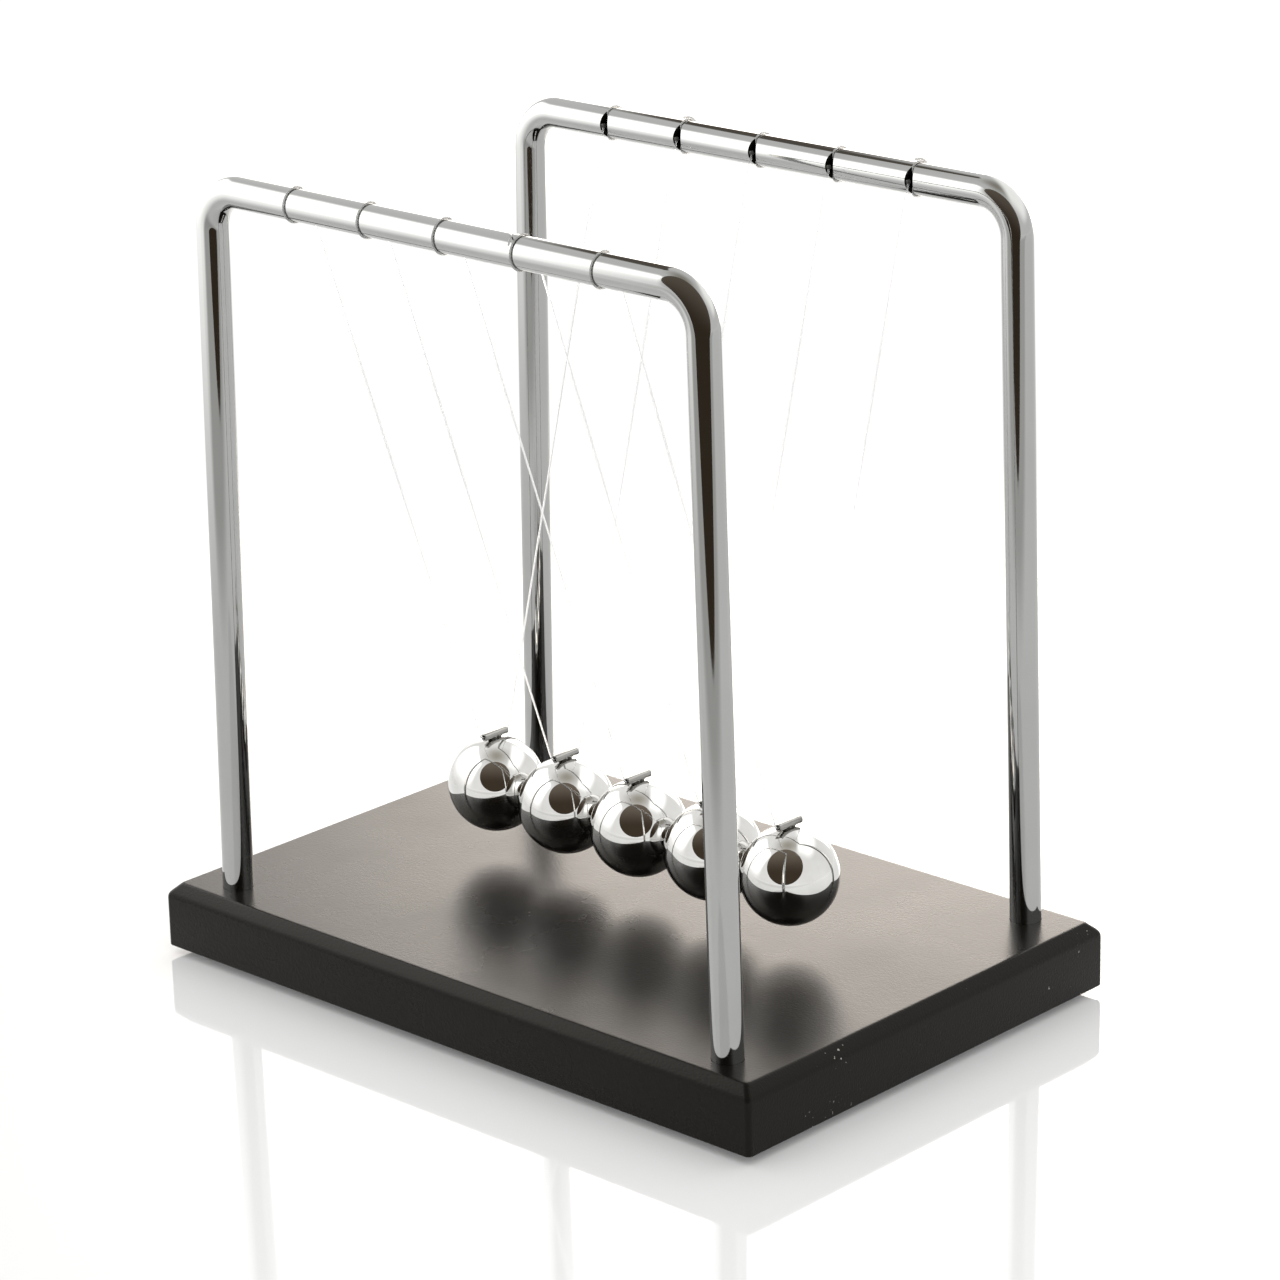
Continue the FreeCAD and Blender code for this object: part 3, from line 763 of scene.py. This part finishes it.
# ---- stage -------------------------------------------------------------------
CAMERA_AZIMUTH = math.radians(43.27)
CAMERA_ELEVATION = math.radians(18.91)
CAMERA_ROLL = math.radians(-1.33)
CAMERA_LENS = 131.96
CAMERA_PLACE = Vector((0.6664, -0.7016, 0.4099))
FLOOR_BRIGHT = (0.86, 0.86, 0.86)
FLOOR_SHADE_GREY = (0.44, 0.435, 0.425)
FLOOR_DIM = (0.20, 0.34)  # the floor goes from bright to the painted shade grey between these distances
FLOOR_CLEAR = (0.95, 0.60)  # and is bright again past these
FLOOR_REACH = 8
FLOOR_LIFT = 0.08
BOX_WHITE = ((1, 1, 0.99), (1, 1, 0.98))
WARM_GLOW = ((1, 0.92, 0.84), (1, 0.92, 0.84))
GAP_BROWN = ((0.15, 0.13, 0.11), (0.15, 0.13, 0.11))
CEILING_GREY = ((0.46, 0.435, 0.38), (0.46, 0.435, 0.38))
CEILING_HALF = 0.62
CEILING_HIGH = 0.95
MOUTH_AWAY = 0.30
MOUTH_TURN = math.radians(8)
MOUTH_RISE = math.radians(38)
MOUTH_WIDE = math.radians(38.5)


def camera_axes():
    """The camera's right, up and backward directions."""
    back = Vector((math.sin(CAMERA_AZIMUTH) * math.cos(CAMERA_ELEVATION),
                   -math.cos(CAMERA_AZIMUTH) * math.cos(CAMERA_ELEVATION),
                   math.sin(CAMERA_ELEVATION)))
    right = (-back).cross(Vector((0, 0, 1))).normalized()
    up = right.cross(-back)
    rolled_right = right * math.cos(CAMERA_ROLL) + up * math.sin(CAMERA_ROLL)
    rolled_up = up * math.cos(CAMERA_ROLL) - right * math.sin(CAMERA_ROLL)
    return rolled_right, rolled_up, back


def make_camera():
    right, up, back = camera_axes()
    data = bpy.data.cameras.new("camera")
    data.lens = CAMERA_LENS
    data.sensor_width = 36
    data.clip_end = 50
    camera = bpy.data.objects.new("camera", data)
    turn = Matrix((right, up, back)).transposed().to_4x4()
    camera.matrix_world = Matrix.Translation(CAMERA_PLACE) @ turn
    bpy.context.scene.collection.objects.link(camera)
    bpy.context.scene.camera = camera


def spot(forward, right, z):
    """Point of the stage, given along and across the camera's heading from the origin."""
    heading = Vector((-math.sin(CAMERA_AZIMUTH), math.cos(CAMERA_AZIMUTH), 0))
    across = Vector((math.cos(CAMERA_AZIMUTH), math.sin(CAMERA_AZIMUTH), 0))
    return heading * forward + across * right + Vector((0, 0, z))


def make_floor():
    """Pale glossy sheet that the object stands on, with a band of painted shade at the mouth of the
    tent.
    """
    corners = [(-1, -1), (1, -1), (1, 1), (-1, 1)]
    verts = [(x * FLOOR_REACH, y * FLOOR_REACH, 0) for x, y in corners]
    mesh = bpy.data.meshes.new("floor")
    mesh.from_pydata(verts, [], [(0, 1, 2, 3)])
    floor = new_object("floor", mesh)
    material, shader, coords = new_material("floor_white")
    nodes = material.node_tree.nodes
    links = material.node_tree.links
    toward = nodes.new("ShaderNodeVectorMath")
    toward.operation = "DOT_PRODUCT"
    toward.inputs[1].default_value = spot(-0.92, -0.39, 0)
    links.new(coords, toward.inputs[0])
    # painted shade: the floor turns grey in a band towards the camera, where less light falls in the
    # tent
    dim = product(material, [smooth_step(material, toward.outputs["Value"], *FLOOR_DIM),
                             smooth_step(material, toward.outputs["Value"], *FLOOR_CLEAR)])
    links.new(tint(material, dim, FLOOR_BRIGHT, FLOOR_SHADE_GREY), shader.inputs["Base Color"])
    shader.inputs["Roughness"].default_value = 0.05
    shader.inputs["IOR"].default_value = 1.5
    shader.inputs["Emission Color"].default_value = (1, 1, 1, 1)
    shader.inputs["Emission Strength"].default_value = FLOOR_LIFT
    mesh.materials.append(material)


def glow_material(name, low_colour, high_colour, strength, fades, rise=(0.0, 1.0)):
    """Light that goes from one colour to another up the sheet and thins out at its edges.

    fades holds the share of it that thins out at its first, last, low and high edge."""
    material = bpy.data.materials.new(name)
    material.use_nodes = True
    nodes = material.node_tree.nodes
    links = material.node_tree.links
    nodes.clear()
    split = nodes.new("ShaderNodeSeparateXYZ")
    links.new(nodes.new("ShaderNodeTexCoord").outputs["UV"], split.inputs["Vector"])
    first, last, low, high = fades
    u = split.outputs["X"]
    v = split.outputs["Y"]
    mask = product(material, [smooth_step(material, u, 0, first),
                              smooth_step(material, u, 1, 1 - last),
                              smooth_step(material, v, 0, low),
                              smooth_step(material, v, 1, 1 - high)])
    glow = nodes.new("ShaderNodeEmission")
    height = smooth_step(material, v, *rise)
    links.new(tint(material, height, low_colour, high_colour), glow.inputs["Color"])
    glow.inputs["Strength"].default_value = strength
    mix = nodes.new("ShaderNodeMixShader")
    links.new(mask, mix.inputs["Fac"])
    links.new(nodes.new("ShaderNodeBsdfTransparent").outputs["BSDF"], mix.inputs[1])
    links.new(glow.outputs["Emission"], mix.inputs[2])
    output = nodes.new("ShaderNodeOutputMaterial")
    links.new(mix.outputs["Shader"], output.inputs["Surface"])
    return material


def reflected_sheet(name, verts, faces, places, material):
    """Part of the stage that shows in reflections only; places are the corners' (u, v)."""
    mesh = bpy.data.meshes.new(name)
    mesh.from_pydata([tuple(vert) for vert in verts], [], faces)
    layer = mesh.uv_layers.new(name="across")
    for loop in mesh.loops:
        layer.data[loop.index].uv = places[loop.vertex_index]
    mesh.materials.append(material)
    sheet = new_object(name, mesh)
    sheet.visible_camera = False
    sheet.visible_diffuse = False
    sheet.visible_shadow = False


def make_panel(name, columns, colours, strength, fades):
    """Soft box through pairs of (low, high) points, with colours for its low and high edge."""
    verts = [point for column in columns for point in column]
    places = [(step / (len(columns) - 1), level) for step in range(len(columns)) for level in (0, 1)]
    faces = [(2 * i, 2 * i + 2, 2 * i + 3, 2 * i + 1) for i in range(len(columns) - 1)]
    material = glow_material(name, *colours, strength, fades)
    reflected_sheet(name, verts, faces, places, material)


def make_mouth():
    """Round dark mouth of the tent, curved round the balls on the camera's side."""
    level = math.cos(MOUTH_RISE)
    toward = spot(-math.cos(MOUTH_TURN) * level, -math.sin(MOUTH_TURN) * level,
                  math.sin(MOUTH_RISE))
    across = toward.cross(Vector((0, 0, 1))).normalized()
    above = across.cross(toward)
    rings = 14
    steps = 72
    verts = []
    places = []
    for ring in range(rings + 1):
        wide = MOUTH_WIDE * ring / rings
        for step in range(steps):
            angle = 2 * math.pi * step / steps
            side = math.cos(angle) * across + math.sin(angle) * above
            direction = toward * math.cos(wide) + side * math.sin(wide)
            verts.append(Vector((0, 0, BALL_Z)) + direction * MOUTH_AWAY)
            share = ring / rings / 2
            places.append((0.5 + share * math.cos(angle), 0.5 + share * math.sin(angle)))
    material = glow_material("tent_mouth", (0.060, 0.045, 0.030), (0.19, 0.158, 0.125), 1.0,
                             (0.001, 0.001, 0.001, 0.001), (0.30, 1.0))
    reflected_sheet("tent_mouth", verts, ring_faces(rings, steps), places, material)


def upright(points, low, high):
    """Columns of a sheet that stands over (forward, right) points."""
    return [(spot(forward, right, low), spot(forward, right, high)) for forward, right in points]


def make_tent():
    """Soft boxes left, right and behind, a grey ceiling and the dark mouth of the tent."""
    make_mouth()
    left_box = upright([(-0.14, -0.28), (0.50, -0.28)], 0.0, 0.48)
    make_panel("left_box", left_box, BOX_WHITE, 3.2, (0.15, 0.20, 0.50, 0.22))
    right_box = [(spot(forward, 0.25, 0.205), spot(forward, 0.085, 0.29))
                 for forward in (-0.15, 0.38)]
    make_panel("right_box", right_box, BOX_WHITE, 1.9, (0.25, 0.35, 0.40, 0.25))
    back_glow = upright([(0.50, -0.26), (0.50, 0.44)], 0.03, 0.38)
    make_panel("back_glow", back_glow, WARM_GLOW, 6.6, (0.46, 0.25, 0.15, 0.4))
    corner_gap = [(spot(0.53, -0.40, 1.00), spot(0.53, -0.26, 1.18)),
                  (spot(0.60, 0.05, 0.26), spot(0.60, 0.14, 0.34))]
    make_panel("corner_gap", corner_gap, GAP_BROWN, 1.0, (0.1, 0.1, 0.3, 0.3))
    ceiling = [(spot(forward, -CEILING_HALF, CEILING_HIGH), spot(forward, CEILING_HALF, CEILING_HIGH))
               for forward in (-CEILING_HALF, CEILING_HALF)]
    make_panel("ceiling", ceiling, CEILING_GREY, 1.0, (0.5, 0.5, 0.5, 0.5))


def make_world():
    """Even white light all round."""
    world = bpy.data.worlds.new("tent")
    bpy.context.scene.world = world
    world.use_nodes = True
    background = world.node_tree.nodes["Background"]
    background.inputs["Color"].default_value = (1.0, 1.0, 0.99, 1)
    background.inputs["Strength"].default_value = 1.05


make_camera()
make_floor()
make_tent()
make_world()
bpy.context.scene.view_settings.view_transform = "Standard"
